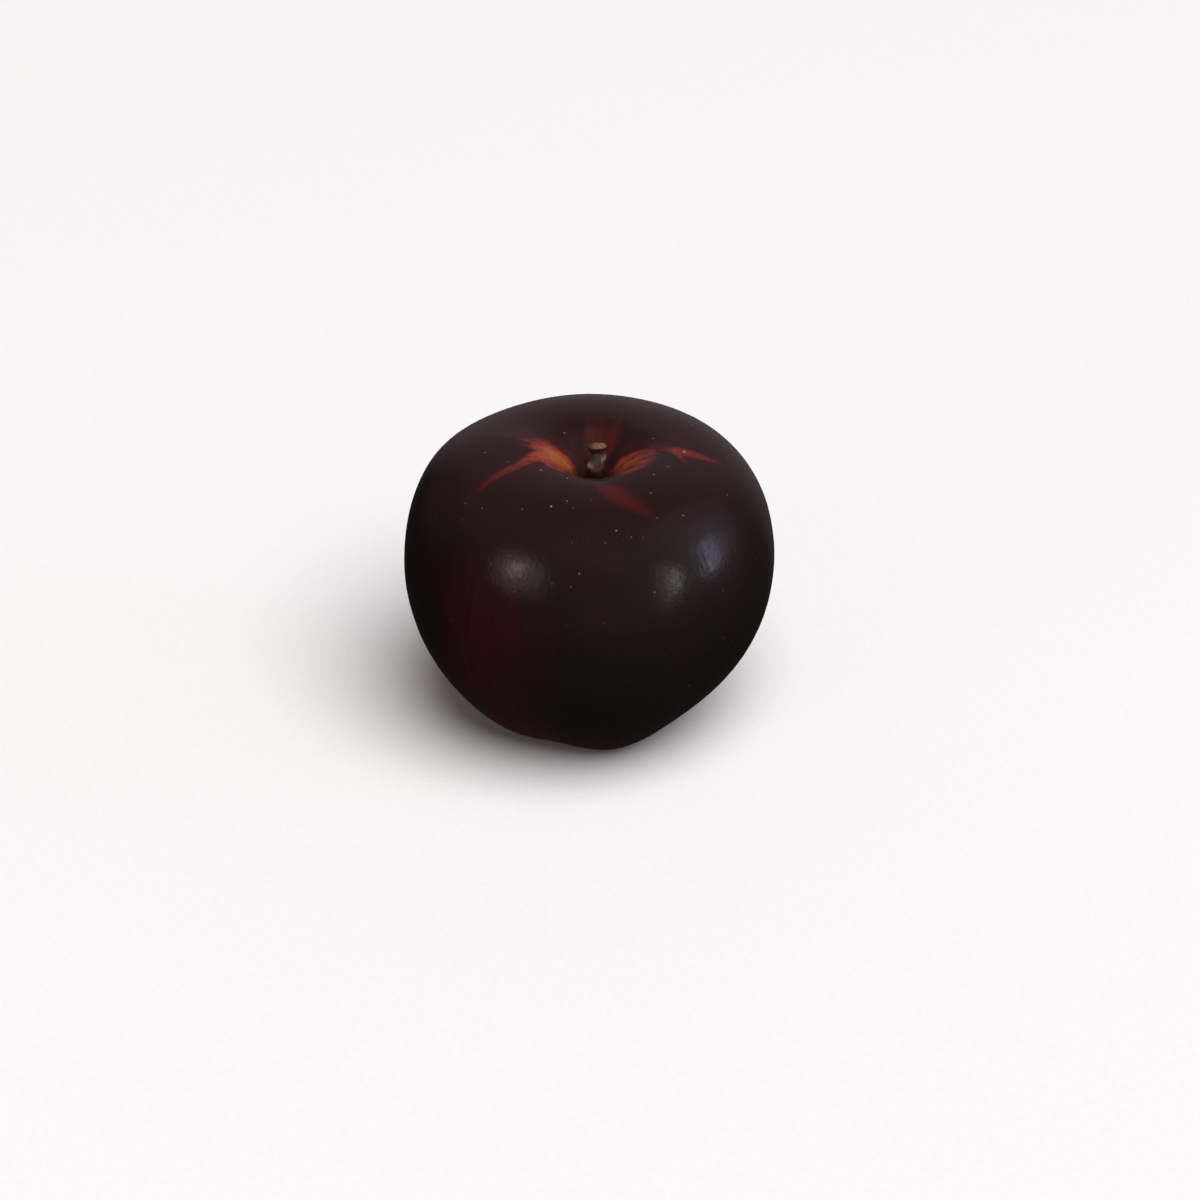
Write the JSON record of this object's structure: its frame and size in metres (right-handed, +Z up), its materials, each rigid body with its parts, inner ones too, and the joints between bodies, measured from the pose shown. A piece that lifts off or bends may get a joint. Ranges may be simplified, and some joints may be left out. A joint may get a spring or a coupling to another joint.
{
  "type": "arkansas black apple",
  "caption": "Whole dark red, nearly black heirloom apple with a short stem in its cavity and the dried calyx in the basin underneath; rests on its lobed foot.",
  "frame": {"origin": "centre of the apple's extent in plan, on the surface that it rests on", "axes": "+Z up along the fruit's core line, towards the stem; -Y faces the camera of the picture"},
  "size_m": [0.0748, 0.0748, 0.063],
  "materials": {
    "apple_skin": "waxy skin, soft gloss, nearly black red with orange-red rays round the stem and pale dots",
    "stem_bark": "dry brown-grey bark with a tan cut end",
    "dry_sepal": "dry brown leaf, matt",
    "dry_stamen": "dark dry fibres, matt"
  },
  "bodies": {
    "root": {"fruit": "apple_skin", "stem": "stem_bark", "sepal_1": "dry_sepal", "sepal_2": "dry_sepal", "sepal_3": "dry_sepal", "sepal_4": "dry_sepal", "sepal_5": "dry_sepal", "stamen_tuft": "dry_stamen"}
  },
  "joints": []
}
